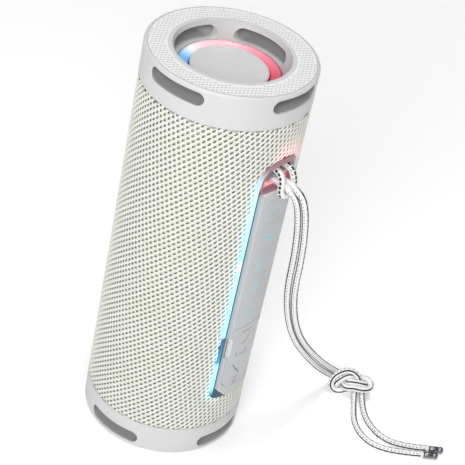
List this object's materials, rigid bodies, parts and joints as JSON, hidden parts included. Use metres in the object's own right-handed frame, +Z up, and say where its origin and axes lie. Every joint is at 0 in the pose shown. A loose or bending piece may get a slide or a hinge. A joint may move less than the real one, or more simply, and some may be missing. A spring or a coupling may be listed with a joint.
{
  "type": "portable bluetooth speaker",
  "caption": "Cylindrical fabric-covered portable speaker with end-cap passive radiators, light rings, side control bar, port cover and braided wrist lanyard.",
  "frame": {"origin": "middle of the foot ring, on the surface that the speaker stands on", "axes": "+Z up along the speaker's axis, +X out through the control bar"},
  "size_m": [0.158, 0.1289, 0.206],
  "materials": {
    "cap_plastic": "light grey satin moulding",
    "texture_plastic": "fine dotted texture, off white",
    "foot_rubber": "dotted light grey foot ring",
    "ring_diffuser": "milky light diffuser",
    "radiator_metal": "brushed",
    "black_rubber": "matt",
    "black_plastic": "fine grain",
    "mesh_fabric": "woven open mesh, cream white",
    "bar_plastic": "grey satin",
    "guide_diffuser": "translucent light guide",
    "circuit_board": "solder mask",
    "led_package": "small moulded packages",
    "chip_black": "moulded packages",
    "steel": "plated",
    "pin_metal": "turned",
    "cell_wrap": "shrink wrap",
    "basket_metal": "black coat",
    "paper_cone": "pressed cone",
    "braid": "white braid with black tracers",
    "tip_metal": "dark grey crimped tips"
  },
  "bodies": {
    "body": {"aux_jack": "black_plastic", "battery_cell_1": "cell_wrap", "battery_cell_2": "cell_wrap", "battery_holder": "black_plastic", "board_chips": "chip_black", "bottom_end_cap": "cap_plastic", "bottom_foot_ring": "foot_rubber", "bottom_led_board": "circuit_board", "bottom_light_ring": "ring_diffuser", "bottom_radiator_frame": "black_plastic", "bottom_radiator_surround": "black_rubber", "button_board": "circuit_board", "card_slot": "black_plastic", "control_bar": "bar_plastic", "control_carrier": "black_plastic", "front_housing": "black_plastic", "lanyard_knot": "braid", "lanyard_pin": "pin_metal", "lanyard_pocket": "guide_diffuser", "lanyard_strand_a": "braid", "lanyard_strand_b": "braid", "lanyard_tail_1": "braid", "lanyard_tail_2": "braid", "lanyard_tip_1": "tip_metal", "lanyard_tip_2": "tip_metal", "leds": "led_package", "light_guide": "guide_diffuser", "lower_driver_basket": "basket_metal", "lower_driver_magnet": "basket_metal", "lower_driver_suspension": "black_rubber", "main_board": "circuit_board", "mesh_sleeve": "mesh_fabric", "port_cover_pin": "steel", "port_panel": "black_plastic", "rear_housing": "black_plastic", "screws": "steel", "seam_gasket": "black_rubber", "tact_switches": "chip_black", "top_end_cap": "cap_plastic", "top_led_board": "circuit_board", "top_light_ring": "ring_diffuser", "top_radiator_frame": "black_plastic", "top_radiator_surround": "black_rubber", "top_texture_ring": "texture_plastic", "upper_driver_basket": "basket_metal", "upper_driver_magnet": "basket_metal", "upper_driver_suspension": "black_rubber", "usb_a_socket": "steel", "usb_c_socket": "steel"},
    "power_key": {"power_button": "bar_plastic"},
    "light_key": {"light_button": "bar_plastic"},
    "play_key": {"play_button": "bar_plastic"},
    "volume_up_key": {"volume_up_button": "bar_plastic"},
    "volume_down_key": {"volume_down_button": "bar_plastic"},
    "cover": {"port_cover": "bar_plastic", "port_cover_seal": "black_rubber"},
    "top_radiator": {"top_radiator_disc": "radiator_metal"},
    "bottom_radiator": {"bottom_radiator_disc": "radiator_metal"},
    "upper_cone": {"upper_driver_cone": "paper_cone"},
    "lower_cone": {"lower_driver_cone": "paper_cone"}
  },
  "joints": [
    {"name": "power_press", "type": "slide", "parent": "body", "child": "power_key", "axis": [-1, 0, 0], "range_m": [0, 0.0005], "stiffness_N_per_m": 4000},
    {"name": "light_press", "type": "slide", "parent": "body", "child": "light_key", "axis": [-1, 0, 0], "range_m": [0, 0.0005], "stiffness_N_per_m": 4000},
    {"name": "play_press", "type": "slide", "parent": "body", "child": "play_key", "axis": [-1, 0, 0], "range_m": [0, 0.0005], "stiffness_N_per_m": 4000},
    {"name": "volume_up_press", "type": "slide", "parent": "body", "child": "volume_up_key", "axis": [-1, 0, 0], "range_m": [0, 0.0005], "stiffness_N_per_m": 4000},
    {"name": "volume_down_press", "type": "slide", "parent": "body", "child": "volume_down_key", "axis": [-1, 0, 0], "range_m": [0, 0.0005], "stiffness_N_per_m": 4000},
    {"name": "port_cover_swing", "type": "hinge", "parent": "body", "child": "cover", "pos_m": [0.0392, 0.0084, 0.0595], "axis": [0, 0, 1], "range_deg": [0, 100]},
    {"name": "top_radiator_travel", "type": "slide", "parent": "body", "child": "top_radiator", "axis": [0, 0, 1], "range_m": [-0.0025, 0.0025], "stiffness_N_per_m": 3000, "deforming": ["top_radiator_surround"]},
    {"name": "bottom_radiator_travel", "type": "slide", "parent": "body", "child": "bottom_radiator", "axis": [0, 0, 1], "range_m": [-0.0025, 0.0025], "stiffness_N_per_m": 3000, "deforming": ["bottom_radiator_surround"]},
    {"name": "upper_cone_travel", "type": "slide", "parent": "body", "child": "upper_cone", "axis": [-1, 0, 0], "range_m": [-0.002, 0.002], "stiffness_N_per_m": 1200, "deforming": ["upper_driver_suspension"]},
    {"name": "lower_cone_travel", "type": "slide", "parent": "body", "child": "lower_cone", "axis": [-1, 0, 0], "range_m": [-0.002, 0.002], "stiffness_N_per_m": 1200, "deforming": ["lower_driver_suspension"]}
  ]
}
